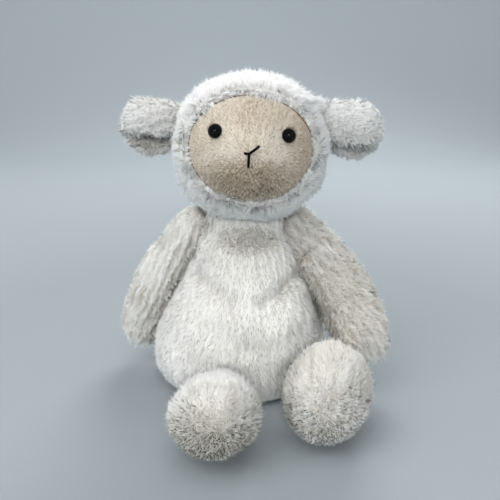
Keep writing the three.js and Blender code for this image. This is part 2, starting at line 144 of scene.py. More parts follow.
# The knitted cloth that the pile grows from
def backingMaterial(name, look):
    material, nodes, links, shader = newMaterial(name)
    where = nodes.new("ShaderNodeTexCoord")
    grain = nodes.new("ShaderNodeTexNoise")
    grain.inputs["Scale"].default_value = look["grainPerMetre"]
    grain.inputs["Detail"].default_value = 4
    links.new(where.outputs["Object"], grain.inputs["Vector"])
    ramp = addRamp(nodes, clothStops, look["tones"])
    links.new(grain.outputs["Fac"], ramp.inputs[0])
    links.new(ramp.outputs[0], shader.inputs["Base Color"])
    bump = nodes.new("ShaderNodeBump")
    bump.inputs["Strength"].default_value = look["bump"]
    bump.inputs["Distance"].default_value = 0.4 * mm
    links.new(grain.outputs["Fac"], bump.inputs["Height"])
    links.new(bump.outputs[0], shader.inputs["Normal"])
    shader.inputs["Roughness"].default_value = look["roughness"]
    shader.inputs["Specular IOR Level"].default_value = look["specular"]
    return material


# Each pile colour darkens from the tip toward the root: painted shade deep in the pile
pileStops = (0.0, 0.4, 1.0)  # from root to tip
clothStops = (0.3, 0.7)
pileLooks = {
    "cream_pile": {
        "deepTones": [(150, 142, 128), (200, 195, 184), (228, 225, 216)],
        "lightTones": [(240, 237, 229), (250, 249, 245), (254, 254, 252)],
        "roughness": 0.8, "specular": 0.2, "sheen": 0.15,
    },
    "white_pile": {
        "deepTones": [(160, 154, 146), (206, 204, 199), (226, 226, 223)],
        "lightTones": [(232, 231, 227), (240, 241, 240), (246, 247, 246)],
        "roughness": 0.78, "specular": 0.25, "sheen": 0.2,
    },
    "grey_pile": {
        "deepTones": [(112, 107, 99), (164, 160, 152), (196, 192, 184)],
        "lightTones": [(200, 196, 186), (226, 223, 215), (240, 238, 232)],
        "roughness": 0.8, "specular": 0.2, "sheen": 0.15,
    },
    "face_pile": {
        "deepTones": [(117, 101, 84), (184, 169, 149), (204, 190, 172)],
        "lightTones": [(202, 190, 172), (232, 226, 214), (243, 240, 232)],
        "roughness": 0.8, "specular": 0.15, "sheen": 0.15,
    },
}
knitLook = {"bump": 0.4, "roughness": 0.95, "specular": 0.1}
solidLooks = {
    "cream_backing": {**knitLook, "grainPerMetre": 1500, "tones": [(196, 188, 174), (226, 221, 210)]},
    "white_backing": {**knitLook, "grainPerMetre": 1500, "tones": [(210, 207, 200), (234, 233, 229)]},
    "face_backing": {**knitLook, "grainPerMetre": 1800, "tones": [(152, 135, 113), (180, 163, 140)]},
    "seam_brown": {"grainPerMetre": 900, "tones": [(104, 74, 54), (142, 108, 82)],
                   "bump": 0.3, "roughness": 0.9, "specular": 0.1},
    "eye_black": {"grainPerMetre": 300, "tones": [(3, 3, 3), (7, 6, 7)],
                  "bump": 0.0, "roughness": 0.05, "specular": 0.15},
    "stitch_black": {"grainPerMetre": 2400, "tones": [(7, 6, 6), (18, 16, 16)],
                     "bump": 0.6, "roughness": 0.7, "specular": 0.08},
    "washer_plastic": {"grainPerMetre": 400, "tones": [(224, 224, 220), (236, 236, 233)],
                       "bump": 0.05, "roughness": 0.45, "specular": 0.5},
}
finishes = {}


def makeFinishes():
    for name, look in pileLooks.items():
        finishes[name] = pileMaterial(name, look)
    for name, look in solidLooks.items():
        finishes[name] = backingMaterial(name, look)


# Soft forms: a cover and what fills it become one closed skin, swollen a little by its stuffing
def points(mesh):
    out = np.empty(len(mesh.vertices) * 3, np.float32)
    mesh.vertices.foreach_get("co", out)
    return out.reshape(-1, 3).astype(float)


def outward(mesh):
    out = np.empty(len(mesh.vertices) * 3, np.float32)
    mesh.vertices.foreach_get("normal", out)
    return out.reshape(-1, 3).astype(float)


def setPoints(mesh, places):
    mesh.vertices.foreach_set("co", places.astype(np.float32).ravel())
    mesh.update()


def newPiece(name, vertices, faces, finish):
    mesh = bpy.data.meshes.new(name)
    mesh.from_pydata([tuple(v) for v in vertices], [], [tuple(f) for f in faces])
    mesh.materials.append(finishes[finish])
    mesh.polygons.foreach_set("use_smooth", np.ones(len(mesh.polygons), bool))
    return placed(name, mesh)


def joinedForm(name, nodeNames):
    shape = bmesh.new()
    for node in nodeNames:
        shape.from_mesh(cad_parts[node].data)
    mesh = bpy.data.meshes.new(name)
    shape.to_mesh(mesh)
    shape.free()
    return placed(name, mesh)


def applyModifiers(form):
    graph = bpy.context.evaluated_depsgraph_get()
    graph.update()
    finished = bpy.data.meshes.new_from_object(form.evaluated_get(graph))
    old = form.data
    form.modifiers.clear()
    form.data = finished
    bpy.data.meshes.remove(old)
    finished.name = form.name


def remesh(form, voxel):
    modifier = form.modifiers.new("remesh", "REMESH")
    modifier.mode = "VOXEL"
    modifier.voxel_size = voxel * mm
    applyModifiers(form)


def relax(form, times):
    modifier = form.modifiers.new("relax", "SMOOTH")
    modifier.factor = 0.5
    modifier.iterations = times
    applyModifiers(form)


def subdivide(form):
    modifier = form.modifiers.new("fine", "SUBSURF")
    modifier.levels = 1
    modifier.render_levels = 1
    applyModifiers(form)


cloth = {
    "frames": 20, "pressure": 4.0, "stiffness": 12, "shear": 4, "bending": 0.3, "mass": 0.2, "quality": 4,
}


def swell(form, look):
    before = points(form.data)
    modifier = form.modifiers.new("cloth", "CLOTH")
    settings = modifier.settings
    settings.quality = cloth["quality"]
    settings.mass = cloth["mass"]
    settings.tension_stiffness = cloth["stiffness"]
    settings.compression_stiffness = cloth["stiffness"]
    settings.shear_stiffness = cloth["shear"]
    settings.bending_stiffness = cloth["bending"]
    settings.use_pressure = True
    settings.uniform_pressure_force = cloth["pressure"]
    settings.effector_weights.gravity = 0
    modifier.collision_settings.use_collision = False
    modifier.point_cache.frame_start = 1
    modifier.point_cache.frame_end = cloth["frames"]
    scene = bpy.context.scene
    for step in range(1, cloth["frames"] + 1):
        scene.frame_set(step)
    graph = bpy.context.evaluated_depsgraph_get()
    swollen = bpy.data.meshes.new_from_object(form.evaluated_get(graph))
    after = points(swollen)
    form.modifiers.clear()
    bpy.data.meshes.remove(swollen)
    scene.frame_set(1)
    moved = after - before
    reach = np.linalg.norm(moved, axis=1, keepdims=True)
    cap = look["cap"] * mm
    setPoints(form.data, before + moved * np.minimum(1, cap / np.maximum(reach, 1e-9)))


def outerFaces(mesh):  # the faces that nothing lies close in front of
    corners = [v.co for v in mesh.vertices]
    sides = [tuple(p.vertices) for p in mesh.polygons]
    tree = BVHTree.FromPolygons(corners, sides)
    start, reach = 0.05 * mm, 1.5 * mm
    free = [not tree.ray_cast(p.center + p.normal * start, p.normal, reach)[0] for p in mesh.polygons]
    return BVHTree.FromPolygons(corners, [side for side, isFree in zip(sides, free) if isFree])


# Smoothing thins a form: it grows back to the cloth's girth, less the room that the pile needs
def keepGirth(form, tree, sink):
    places, out = points(form.data), outward(form.data)
    gap = np.empty(len(places))
    for i, p in enumerate(places):
        near = tree.find_nearest(p)[0]
        gap[i] = np.clip((p - near) @ out[i], -3 * mm, 3 * mm)
    edges = np.empty(len(form.data.edges) * 2, np.int32)
    form.data.edges.foreach_get("vertices", edges)
    a, b = edges.reshape(-1, 2).T
    shares = np.bincount(np.concatenate([a, b]), minlength=len(gap))
    for step in range(8):
        total = np.bincount(a, gap[b], len(gap)) + np.bincount(b, gap[a], len(gap))
        gap = 0.5 * gap + 0.5 * total / shares
    setPoints(form.data, places - out * (gap + sink * mm)[:, None])


skinOverFloor = 0.2


def softSkin(name, nodeNames, look, body, finish, shaping=None):
    form = joinedForm(name, nodeNames)
    tree = outerFaces(form.data)
    remesh(form, look["voxel"])
    relax(form, look["relax"])
    keepGirth(form, tree, look["sink"] + look["cap"] * 0.5)
    swell(form, look)
    relax(form, 2)
    keepGirth(form, tree, look["sink"])
    relax(form, 3)
    subdivide(form)
    rng = np.random.default_rng(len(name))
    places = points(form.data)
    bumps = drift(places / mm, look.get("lump", 15.0), rng) * look.get("uneven", 0.4) * mm
    setPoints(form.data, places + outward(form.data) * bumps[:, None])
    if shaping:
        setPoints(form.data, shaping(points(form.data), outward(form.data)))
    places = points(form.data)
    places[:, 2] = np.maximum(places[:, 2], skinOverFloor * mm)
    setPoints(form.data, places)
    form.data.materials.clear()
    form.data.materials.append(finishes[finish])
    form.data.polygons.foreach_set("use_smooth", np.ones(len(form.data.polygons), bool))
    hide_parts(*nodeNames)
    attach(form, body)
    print(name, len(form.data.polygons), "faces")
    return form


# Pile: strands scattered over a skin, bent over the way they are combed, and drawn together into locks
longPile = {
    "perSquareMm": 3.4, "length": 3.5, "width": 0.34, "strandsPerLock": 4, "lockDraw": 0.3, "curl": 0.2,
    "frizz": 0.12, "strayDegrees": 10, "leanSpread": 6, "twistDegrees": 20,
    "toneSpread": 0.07, "shadeSpread": 0.1,
    "patch": 16.0, "patchDegrees": 12, "patchLean": 4, "patchTone": 0.05,
    "ridge": 3.4, "ridgeStretch": 4.0, "ridgeDraw": 0.6, "ridgePaintedShade": 0.08, "ridgeShade": 0.28, "wild": 0.05,
}
shortPile = {
    "perSquareMm": 8.0, "length": 1.9, "width": 0.24, "strandsPerLock": 5, "lockDraw": 0.25, "curl": 0.08,
    "frizz": 0.06, "strayDegrees": 14, "leanSpread": 7, "twistDegrees": 25,
    "toneSpread": 0.08, "shadeSpread": 0.1,
    "patch": 9.0, "patchDegrees": 12, "patchLean": 5, "patchTone": 0.05,
    "ridge": 2.0, "ridgeStretch": 3.0, "ridgeDraw": 0.2, "ridgePaintedShade": 0.07, "ridgeShade": 0.15, "wild": 0.02,
}
tuftyPile = {
    **longPile, "perSquareMm": 4.6, "width": 0.31,
    "ridge": 4.4, "ridgeStretch": 3.0, "ridgeDraw": 1.0, "ridgePaintedShade": 0.15, "ridgeShade": 0.45,
}
# New pile lies smooth; where it is worn it stands up in small curls with deep gaps between
nap = {"lean": (74, 28), "tone": (0.78, 0.3), "long": (1.0, 0.85), "lock": (0.8, 2.4), "curl": (0.9, 1.8),
       "rough": (0.6, 1.4), "stray": (1.0, 1.6)}


def worn(share, **changes):
    return {key: smooth + (curly - smooth) * share for key, (smooth, curly) in {**nap, **changes}.items()}


def drift(at, size, rng):  # a soft wander over the skin, about -1 to 1, in patches of a size
    total = np.zeros(len(at))
    for step in range(7):
        way = unit(rng.normal(0, 1, 3)) * 2 * math.pi / (size * rng.uniform(0.7, 1.8))
        total += np.sin(at @ way + rng.uniform(0, 2 * math.pi))
    return total / 2.2


def scattered(mesh, perSquareMm, rng, keep):
    mesh.calc_loop_triangles()
    corners = np.empty(len(mesh.loop_triangles) * 3, np.int32)
    mesh.loop_triangles.foreach_get("vertices", corners)
    corners = corners.reshape(-1, 3)
    places, normals = points(mesh), outward(mesh)
    a, b, c = (places[corners[:, i]] for i in range(3))
    area = np.linalg.norm(np.cross(b - a, c - a), axis=1) / 2
    total = int(area.sum() / (mm * mm) * perSquareMm)
    chosen = rng.choice(len(corners), total, p=area / area.sum())
    u, v = rng.random(total), rng.random(total)
    over = u + v > 1
    u[over], v[over] = 1 - u[over], 1 - v[over]
    parts = np.stack([1 - u - v, u, v], 1)[:, :, None]
    at = (places[corners[chosen]] * parts).sum(1)
    out = unit((normals[corners[chosen]] * parts).sum(1))
    if keep is not None:
        kept = keep(at / mm, out)
        at, out = at[kept], out[kept]
    return at, out


# Combed pile lies in ridges with fine partings between: their height, and how it falls away to one side
def ridgesOf(at, side, grain, look, rng):
    ways = unit(rng.normal(0, 1, (14, 3))) * (2 * math.pi / (look["ridge"] * rng.uniform(0.75, 2.0, (14, 1))))
    starts = rng.uniform(0, 2 * math.pi, 14)
    heights = []
    for step in (-0.25, 0.0, 0.25):
        heights.append(np.sin(grain(at + side * step) @ ways.T + starts).sum(1) / 3.2)
    return heights[1], np.clip((heights[2] - heights[0]) * 1.6, -1.2, 1.2)


# Two faces from the root to the middle and one from there to the tip
def bladeMesh(name, line, across, width):
    spread = across[:, None] * (width[:, None] * np.array([strand["rootWidth"], 1.0]))[:, :, None]
    vertices = np.concatenate([line[:, :2] - spread, line[:, :2] + spread, line[:, 2:]], 1).reshape(-1, 3)
    pattern = np.array([[0, 2, 3], [0, 3, 1], [1, 3, 4]])
    faces = (pattern[None] + (np.arange(len(line)) * 5)[:, None, None]).reshape(-1, 3)
    mesh = bpy.data.meshes.new(name)
    mesh.vertices.add(len(vertices))
    mesh.loops.add(faces.size)
    mesh.polygons.add(len(faces))
    mesh.vertices.foreach_set("co", vertices.astype(np.float32).ravel())
    mesh.loops.foreach_set("vertex_index", faces.astype(np.int32).ravel())
    mesh.polygons.foreach_set("loop_start", (np.arange(len(faces)) * 3).astype(np.int32))
    mesh.polygons.foreach_set("use_smooth", np.ones(len(faces), bool))
    mesh.update(calc_edges=True)
    return mesh, faces


# One strand: degrees of lean, shares of the length and width that its pile has, and its place on the map
strand = {
    "usual": {"lean": 60, "tone": 0.6, "long": 1, "lock": 1, "curl": 1, "rough": 1, "stray": 1},
    "leanLimits": (2, 84), "ridgeLean": 4, "bends": (0.78, 1.1), "flattest": 87, "lengths": (0.75, 1.12),
    "wildLean": 0.5, "wildLength": 1.25, "widths": (0.7, 1.3), "rootWidth": 0.85, "overFloor": 0.25,
    "drawLimit": 0.92, "toneLimits": (0.02, 0.98), "strandTone": 0.6, "lockTone": 0.8, "strandShade": 0.6,
    "mapEdge": 0.003, "mapBias": 0.006,
}


# A comb takes places in millimetres and the way out, and gives the way that the pile lies
def growPile(name, skin, look, comb, body, finish, seed, keep=None):
    rng = np.random.default_rng(seed)
    root, normal = scattered(skin.data, look["perSquareMm"], rng, keep)
    count = len(root)
    lay = {**strand["usual"], **comb(root / mm, normal)}
    toward = np.broadcast_to(lay.pop("toward"), (count, 3))
    lay = {key: np.broadcast_to(np.asarray(value, float), count) for key, value in lay.items()}
    stretch = 1 - 1 / look["ridgeStretch"]
    flow = unit(toward.mean(0)) * stretch

    def grain(p):  # places drawn together along the flow, so that ridges run with it
        return p - (p @ flow)[:, None] * flow / stretch
    tangent = unit(toward - (toward * normal).sum(1, keepdims=True) * normal)
    side = np.cross(normal, tangent)
    ridge, fall = ridgesOf(root / mm, side, grain, look, rng)
    rough = lay["rough"]
    stray = drift(root / mm, look["patch"], rng) * look["patchDegrees"]
    stray += rng.normal(0, look["strayDegrees"], count) * lay["stray"]
    stray = np.radians(stray)[:, None]
    tangent = tangent * np.cos(stray) + side * np.sin(stray)
    lean = lay["lean"] + drift(root / mm, look["patch"], rng) * look["patchLean"]
    lean = lean - strand["ridgeLean"] * ridge
    lean = np.clip(lean + rng.normal(0, look["leanSpread"], count), *strand["leanLimits"])
    wild = rng.random(count) < look["wild"]  # a few strands stand out of the rest
    lean = np.where(wild, lean * strand["wildLean"], lean)
    length = look["length"] * mm * lay["long"] * rng.uniform(*strand["lengths"], count)
    length = length * np.where(wild, strand["wildLength"], 1.0)
    steps = [np.zeros_like(root)]
    for bend in strand["bends"]:  # stands up at the root and bends over toward the tip
        angle = np.radians(np.minimum(lean * bend, strand["flattest"]))[:, None]
        steps.append(steps[-1] + (normal * np.cos(angle) + tangent * np.sin(angle)) * (length / 2)[:, None])
    line = np.stack(steps, 1) + root[:, None, :]
    rise = np.array([0, 0.5, 1.0])
    line += side[:, None] * (fall * look["ridgeDraw"] * mm)[:, None, None] * rise[None, :, None]
    # Each strand leans to the tip of the lock that it stands in
    lockCount = max(1, int(count / look["strandsPerLock"]))
    leaders = rng.choice(count, lockCount, replace=False)
    tree = kdtree.KDTree(lockCount)
    for i, p in enumerate(root[leaders]):
        tree.insert(p, i)
    tree.balance()
    nearest = np.fromiter((tree.find(p)[1] for p in root), np.int64, count)
    leader = leaders[nearest]
    draw = np.clip(look["lockDraw"] * lay["lock"], 0, strand["drawLimit"]) * ~wild
    draw = draw[:, None, None] * rise[None, :, None]
    swirl = rng.normal(0, look["curl"] * mm, (lockCount, 3, 3)) * rise[None, :, None]
    line = line * (1 - draw) + line[leader] * draw + swirl[nearest] * lay["curl"][:, None, None]
    line += rng.normal(0, look["frizz"] * mm, line.shape) * rise[None, :, None]
    line[:, :, 2] = np.maximum(line[:, :, 2], strand["overFloor"] * mm)
    # Flat blades that face out
    ahead = unit(line[:, -1] - line[:, 0])
    across = unit(np.cross(ahead, normal + tangent * 0.2) + 1e-6)
    turn = rng.normal(0, math.radians(look["twistDegrees"]), (count, 1))
    across = across * np.cos(turn) + np.cross(ahead, across) * np.sin(turn)
    width = look["width"] * mm * rng.uniform(*strand["widths"], count) / 2
    mesh, faces = bladeMesh(name, line, across, width)
    # The map: root to tip across, tone up
    tone = lay["tone"] + rng.normal(0, look["toneSpread"], count) * strand["strandTone"] * rough
    # Random patches of tone, with ridge tops a little lighter and the partings between them darker: painted
    # shade in the partings
    tone += drift(root / mm, look["patch"], rng) * look["patchTone"] + ridge * look["ridgePaintedShade"]
    tone = tone + rng.normal(0, look["toneSpread"], lockCount)[nearest] * strand["lockTone"] * rough
    tone = np.clip(tone, *strand["toneLimits"])
    edge = strand["mapEdge"]
    ups = np.array([edge, 0.5, edge, 0.5, 1 - edge])
    bias = np.array([-1, -1, 1, 1, 0]) * strand["mapBias"]
    uv = np.stack([np.broadcast_to(ups, (count, 5)), tone[:, None] + bias], 2).reshape(-1, 2)
    layer = mesh.uv_layers.new(name="OFBake")
    layer.data.foreach_set("uv", uv[faces.ravel()].astype(np.float32).ravel())
    # Light falls on a lock as on the skin below it, a little to one side or the other
    tilt = rng.normal(0, look["shadeSpread"], (lockCount, 3))[nearest]
    tilt += rng.normal(0, look["shadeSpread"], (count, 3)) * strand["strandShade"]
    shade = unit(normal + tilt * rough[:, None] - side * (fall * look["ridgeShade"])[:, None])
    mesh.normals_split_custom_set_from_vertices(np.repeat(shade, 5, 0).tolist())
    mesh.materials.append(finishes[finish])
    pile = placed(name, mesh)
    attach(pile, body)
    print(name, count, "strands")
    return pile


# Body: pear-shaped, combed down, with a worn curly patch under the chin
bodyLook = {
    "voxel": 4.0, "relax": 5, "sink": 0.5, "cap": 1.5, "fill": 0.7,
    "chest": {"centre": (6.0, 107.0), "half": (23.0, 11.0)},
    "creases": [  # soft folds across the belly
        {"start": (-27.0, 82.0), "end": (-4.0, 73.0), "half": 7.5, "depth": 3.4},
        {"start": (42.0, 83.0), "end": (30.0, 77.0), "half": 4.6, "depth": 3.8},
        {"start": (30.0, 77.0), "end": (16.0, 69.0), "half": 5.2, "depth": 3.6},
    ],
    "armSeams": [  # where the arms are sewn on, the pile parts
        {"start": (-19.0, 114.0), "end": (-34.0, 91.0), "half": 2.6},
        {"start": (31.0, 111.0), "end": (50.0, 77.0), "half": 2.6},
    ],
    "shoulders": 2.8,
    "full": {"centre": (38.0, 52.0), "half": (20.0, 28.0)},  # the stuffing sits to one side
    "fullness": 5.0,
    "front": (5.0, 20.0), "seat": (14.0, 66.0),  # how far forward the front begins, and where the seat ends
    "bareChest": 0.6, "pileFrom": 1.5,
}


def foldBelly(places, out):
    x, y, z = (places / mm).T
    front = ease(-y, 0, 15)
    sunk = np.zeros(len(x))
    for crease in bodyLook["creases"]:
        sunk += crease["depth"] * along(x, z, crease["start"], crease["end"], crease["half"])
    shoulders = bodyLook["shoulders"] * ease(z, 74, 104) * ease(np.abs(out[:, 0]), 0.2, 0.9)
    full = bodyLook["fullness"] * spot(x, z, **bodyLook["full"]) * ease(-y, 8, 26)
    places = places - aimed(0.0, full, 0.0) * mm
    return places + out * ((shoulders - sunk * front) * mm)[:, None]


def combBody(at, out):
    x, y, z = at.T
    front = ease(-y, *bodyLook["front"])
    chest = chestShare(at)
    low = (1 - ease(z, *bodyLook["seat"])) * front
    back = ease(y, -5, 15)
    seam = sum(along(x, z, **line) for line in bodyLook["armSeams"]) * ease(-y, -6, 2)
    creaseShade = sum(along(x, z, c["start"], c["end"], c["half"] * 0.6) for c in bodyLook["creases"]) * front
    share = np.clip(np.maximum(np.maximum(chest, 0.15 + low * 0.45), back * 0.4) + 0.5 * seam, 0, 1)
    return {
        **worn(share),
        "toward": aimed(x * 0.004, -0.05, -1.0),
        # Painted shade and light in the tone: darker along the arm seams (partly the seam itself, partly
        # painted shade of the gap), in the belly creases and on the upper front under the head (painted
        # shade); lighter on the low front and toward the right of the belly (painted light)
        "tone": (0.98 - 0.25 * share - 0.12 * chest - 0.6 * seam - 0.3 * creaseShade + 0.2 * low
                 + 0.1 * ease(x, 5, 35) - 0.18 * ease(z, 72, 90) * front),
        "rough": 0.6 + 0.8 * share + 1.4 * chest,
        "curl": 0.9 + 0.9 * share + 1.5 * chest,
        "stray": 1 + 0.6 * share + 5 * chest,
    }


chestPile = {**longPile, "perSquareMm": 3.0, "length": 2.8, "lockDraw": 0.36}


def chestShare(at):
    x, y, z = at.T
    ragged = z + 0.6 * np.sin(x * 0.9) + 0.5 * np.sin(x * 1.7 + z)
    return spot(x, ragged, **bodyLook["chest"]) * ease(-y, *bodyLook["front"])


def onBelly(at, out):
    bare = np.random.default_rng(13).random(len(at)) < bodyLook["bareChest"] * chestShare(at)
    return (at[:, 2] > bodyLook["pileFrom"]) & (at[:, 1] < 0) & ~bare


def makeBody():
    skin = softSkin("body_skin", ["body_cover", "body_stuffing", "seat_pellet_bag"], bodyLook, "torso",
                    "cream_backing", foldBelly)
    growPile("belly_pile", skin, longPile, combBody, "torso", "cream_pile", 11,
             keep=onBelly)
    growPile("chest_pile", skin, chestPile, combBody, "torso", "grey_pile", 14,
             keep=lambda at, out: np.random.default_rng(15).random(len(at)) < chestShare(at))
    growPile("back_pile", skin, longPile, combBody, "torso", "cream_pile", 12,
             keep=lambda at, out: (at[:, 2] > bodyLook["pileFrom"]) & (at[:, 1] >= 0))


# Head: places on it are told from the middle of the skull, which leans a little to one side
skull = {"place": (7.3, -10.0, 163.5), "rollDegrees": 3.5, "half": (47.5, 46.0, 44.0), "fullness": 2.3}
face = {
    "width": 72.0, "height": 59.0, "rise": 3.2, "set": 2.6, "nap": 1.1,
    "muzzle": {"bulge": 5.6, "width": 24.0, "height": 18.0, "drop": 4.0},
}
hoodLook = {"voxel": 3.5, "relax": 5, "sink": 1.4, "cap": 1.0, "fill": 0.85, "press": 4.0,
            "uneven": 0.7, "lump": 13.0,
            "wisp": {"centre": (38.0, 29.0), "half": (6.0, 6.0)},
            "seamShows": {"centre": (24.0, 27.0), "half": (22.0, 20.0)}}


def skullTurn():
    a = math.radians(skull["rollDegrees"])
    return np.array([[math.cos(a), 0, math.sin(a)], [0, 1, 0], [-math.sin(a), 0, math.cos(a)]])


def toSkull(at):  # millimetres in the room to millimetres on the skull
    return (at - np.array(skull["place"])) @ skullTurn()


def fromSkull(at):
    return at @ skullTurn().T + np.array(skull["place"])


def onFace(x, z, lift=0.0):
    half = [h - face["set"] for h in skull["half"]]
    n = skull["fullness"]
    left = np.maximum(1 - np.abs(x / half[0]) ** n - np.abs(z / half[2]) ** n, 0.02)
    m = face["muzzle"]
    bulge = m["bulge"] * np.exp(-(x / m["width"]) ** 2 - ((z + m["drop"]) / m["height"]) ** 2)
    return np.stack([x, -half[1] * left ** (1 / n) - bulge - lift, z], -1)


def faceOut(x, z):
    step = 1.0
    across = onFace(x + step, z) - onFace(x - step, z)
    up = onFace(x, z + step) - onFace(x, z - step)
    return unit(np.cross(across, up))


def faceShare(p):  # 1 on the face's edge
    return np.hypot(p[:, 0] / (face["width"] / 2), (p[:, 2] - face["rise"]) / (face["height"] / 2))


def pressFace(places, out):
    p = toSkull(places / mm)
    share = faceShare(p)
    inside = (1 - ease(share, 0.98, 1.06)) * (p[:, 1] < 0)
    p[:, 1] += inside * hoodLook["press"]
    return fromSkull(p) * mm


def combHood(at, out):
    p = toSkull(at)
    x, y, z = p.T
    share = faceShare(p)
    front = ease(-y, -12, 22)
    chin = ease(-z, 20, 36) * front
    over = (1 - ease(share, 1.06, 1.3)) * (y < 0)
    side = ease(np.abs(x), 32, 44) * front
    curly = np.clip(0.45 * side * ease(-z, -14, 6) + 0.5 * chin, 0, 0.7)
    away = unit(aimed(x, 0.0, z - face["rise"])) * (1 - 2 * over[:, None])
    toward = (away + np.array([0, 0.55, 0])) * front[:, None]
    toward = toward + aimed(x * 0.006, 0.25, -1.0) * (1 - front[:, None])
    parting = 1 - np.abs(2 * over - 1)
    wisp = spot(x, z, **hoodLook["wisp"]) * (y < 5)
    crown = ease(z, 10, 30) * ease(y, -10, 22)  # lies flat, so its underside doesn't show from behind
    turn = np.arctan2(z - face["rise"], x)
    fringe = 0.5 + 0.5 * np.sin(turn * 7 + 2 * np.sin(turn * 3))
    fringe = fringe - 1.2 * spot(x, z, **hoodLook["seamShows"])  # short there
    return {
        # The tone is raised toward the right side of the hood and on the crown: painted light where these
        # parts fall into shade
        **worn(curly, tone=(0.6 + 0.2 * ease(x, 15, 40) + 0.3 * crown, 0.4), rough=(1.0, 1.4)),
        "toward": toward @ skullTurn().T,
        "lean": (62 - 22 * curly - 18 * parting) * (1 - 0.6 * wisp) + 16 * crown,
        "long": 1.25 + (0.2 + 0.5 * fringe) * over + 0.1 * chin + 1.0 * wisp,
        "lock": 2.0 + 0.6 * curly - 0.8 * parting,
        "stray": 1 + 5 * parting + curly,
    }


def makeHood():
    skin = softSkin("hood_skin", ["head_hood", "head_stuffing"], hoodLook, "head",
                    "white_backing", pressFace)

    def onHood(at):
        p = toSkull(at)
        return (faceShare(p) > 1.0) | (p[:, 1] > 0)
    growPile("hood_front_pile", skin, tuftyPile, combHood, "head", "white_pile", 21,
             keep=lambda at, out: onHood(at) & (at[:, 1] < 0))
    growPile("hood_back_pile", skin, tuftyPile, combHood, "head", "white_pile", 22,
             keep=lambda at, out: at[:, 1] >= 0)


# Face: a crowned oval set into the hood, with short pile that fans out from the nose
faceLook = {"rings": 44, "sides": 120, "thick": 2.0, "tuck": 2.0, "fill": 0.85,
            "socketDepth": 1.7, "socket": 9.5, "bareMuzzle": 0.5,
            "muzzle": {"centre": (0.0, -14.0), "half": (31.0, 16.0)},
            "forehead": {"centre": (1.0, 24.0), "half": (24.0, 12.0)},
            "bridge": {"centre": (0.0, 10.0), "half": (9.0, 9.0)}}
eyeLook = {"spacing": 42.0, "rise": 13.2, "diameter": 8.5, "stand": 3.4, "low": -1.0, "shank": 9.0,
           "shankRadius": 1.5, "grooveRadius": 1.3, "ribs": 5, "sides": 48}
noseLook = {"aside": -1.0, "rise": 2.8, "reach": 5.2, "lift": 4.2, "mouth": 7.4, "thread": 0.36, "threads": 4,
            "wind": 0.4, "twist": 7.0, "stand": 0.3, "dive": 1.6}


def faceSurface(x, z, lift):
    share = np.hypot(x / (face["width"] / 2), (z - face["rise"]) / (face["height"] / 2))
    lift = lift - face["nap"] - faceLook["tuck"] * ease(share, 0.93, 1.0)
    for side in (-1, 1):
        away = np.hypot(x - side * eyeLook["spacing"] / 2, z - eyeLook["rise"])
        lift = lift - faceLook["socketDepth"] * np.exp(-(away / faceLook["socket"]) ** 2)
    return onFace(x, z, lift)


def makeFace():
    rings, sides = faceLook["rings"], faceLook["sides"]
    front, back = [], []
    for i in range(rings + 1):
        share = i / rings
        turn = np.linspace(0, 2 * math.pi, sides, endpoint=False)
        x = face["width"] / 2 * share * np.cos(turn)
        z = face["rise"] + face["height"] / 2 * share * np.sin(turn)
        front.append(faceSurface(x, z, 0.0))
        back.append(faceSurface(x, z, -faceLook["thick"]))
    vertices = [front[0][0]] + [p for ring in front[1:] for p in ring]
    backFrom = len(vertices)
    vertices += [back[0][0]] + [p for ring in back[1:] for p in ring]
    faces = []

    def cap(start, flip):
        for j in range(sides):
            k = (j + 1) % sides
            found = [(start, start + 1 + j, start + 1 + k)]
            for i in range(rings - 1):
                a, b = start + 1 + i * sides, start + 1 + (i + 1) * sides
                found.append((a + j, b + j, b + k, a + k))
            faces.extend(f[::-1] if flip else f for f in found)
    cap(0, False)
    cap(backFrom, True)
    rim, backRim = 1 + (rings - 1) * sides, backFrom + 1 + (rings - 1) * sides
    for j in range(sides):
        k = (j + 1) % sides
        faces.append((rim + k, rim + j, backRim + j, backRim + k))
    skin = newPiece("face_skin", fromSkull(np.array(vertices)) * mm, faces, "face_backing")
    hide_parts("face_panel")
    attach(skin, "head")
    growPile("face_pile", skin, shortPile, combFace, "head", "face_pile", 31, keep=onFront)


def muzzleShare(p):
    return spot(p[:, 0], p[:, 2], **faceLook["muzzle"])


def onFront(at, out):
    p = toSkull(at)
    bare = np.random.default_rng(32).random(len(p)) < faceLook["bareMuzzle"] * muzzleShare(p)
    keep = (out[:, 1] < 0.2) & (faceShare(p) < 0.995) & ~bare
    for side in (-1, 1):
        away = np.hypot(p[:, 0] - side * eyeLook["spacing"] / 2, p[:, 2] - eyeLook["rise"])
        keep &= away > eyeLook["diameter"] / 2 - 0.4
    return keep


def combFace(at, out):
    p = toSkull(at)
    x, z = p[:, 0] - noseLook["aside"], p[:, 2] - noseLook["rise"]
    toward = unit(aimed(x, 0.0, z))
    forehead = spot(p[:, 0], p[:, 2], **faceLook["forehead"])
    muzzle = muzzleShare(p)
    bridge = spot(p[:, 0], p[:, 2], **faceLook["bridge"])
    cheek = ease(np.abs(p[:, 0]), 14, 30)
    return {
        **worn(muzzle, lock=(1.0, 3.2), curl=(1.2, 4.5), rough=(0.8, 2.4), stray=(1.0, 5.0)),
        "toward": toward @ skullTurn().T,
        "lean": 75 + 4 * forehead - 43 * muzzle - 24 * ease(p[:, 0], 16, 32) * (1 - muzzle),
        # The tone is lower on both cheeks and lower still on the right cheek: painted shade where the face
        # turns from the light. The muzzle is darker, partly its brown curly pile and partly painted shade on
        # its underside
        "tone": (0.5 - 0.26 * forehead - 0.02 * bridge - 0.5 * muzzle - 0.2 * cheek
                 - 0.28 * ease(p[:, 0], 18, 34)),
        "long": 1 - 0.1 * forehead + 0.25 * muzzle,
    }


